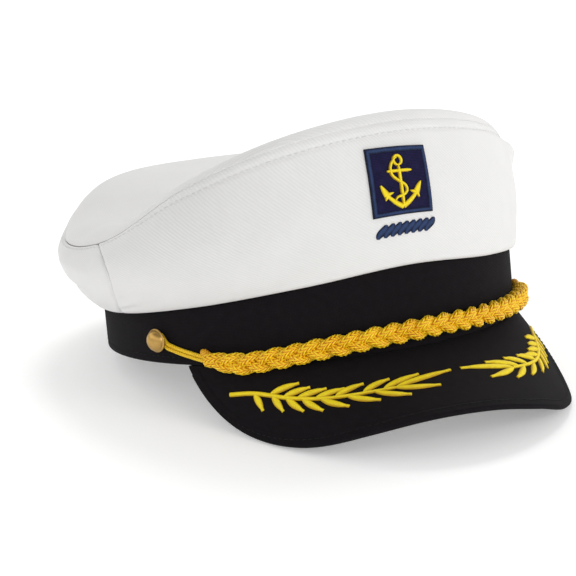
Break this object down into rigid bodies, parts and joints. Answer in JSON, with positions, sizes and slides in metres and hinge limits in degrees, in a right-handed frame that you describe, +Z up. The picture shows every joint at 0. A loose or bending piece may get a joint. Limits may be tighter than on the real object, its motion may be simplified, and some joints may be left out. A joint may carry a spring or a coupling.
{
  "type": "captain hat",
  "caption": "Captain hat: soft white crown over a black band, curved black visor with gold leaf sprigs, plaited gold cord between brass buttons, anchor badge on the front.",
  "frame": {"origin": "bottom centre of the whole hat's box, on the surface it rests on", "axes": "+Z up as the hat rests, front (visor) towards -Y, the wearer's left towards +X"},
  "size_m": [0.2198, 0.273, 0.135],
  "materials": {
    "white_twill": "matt fine cotton twill",
    "black_cloth": "matt fine woven cloth",
    "gold_cord": "satin knitted cord",
    "gold_thread": "glossy satin stitch",
    "navy_cloth": "matt woven patch",
    "navy_thread": "satin stitch",
    "brass": "polished"
  },
  "bodies": {
    "root": {"crown_front_panel": "white_twill", "crown_back_panel": "white_twill", "crown_tip": "white_twill", "band": "black_cloth", "visor": "black_cloth", "plaited_cord": "gold_cord", "sprig_left": "gold_thread", "sprig_right": "gold_thread", "badge_patch": "navy_cloth", "badge_border": "navy_thread", "anchor": "gold_thread", "rope_bar": "navy_thread", "button_left": "brass", "button_right": "brass"}
  },
  "joints": []
}
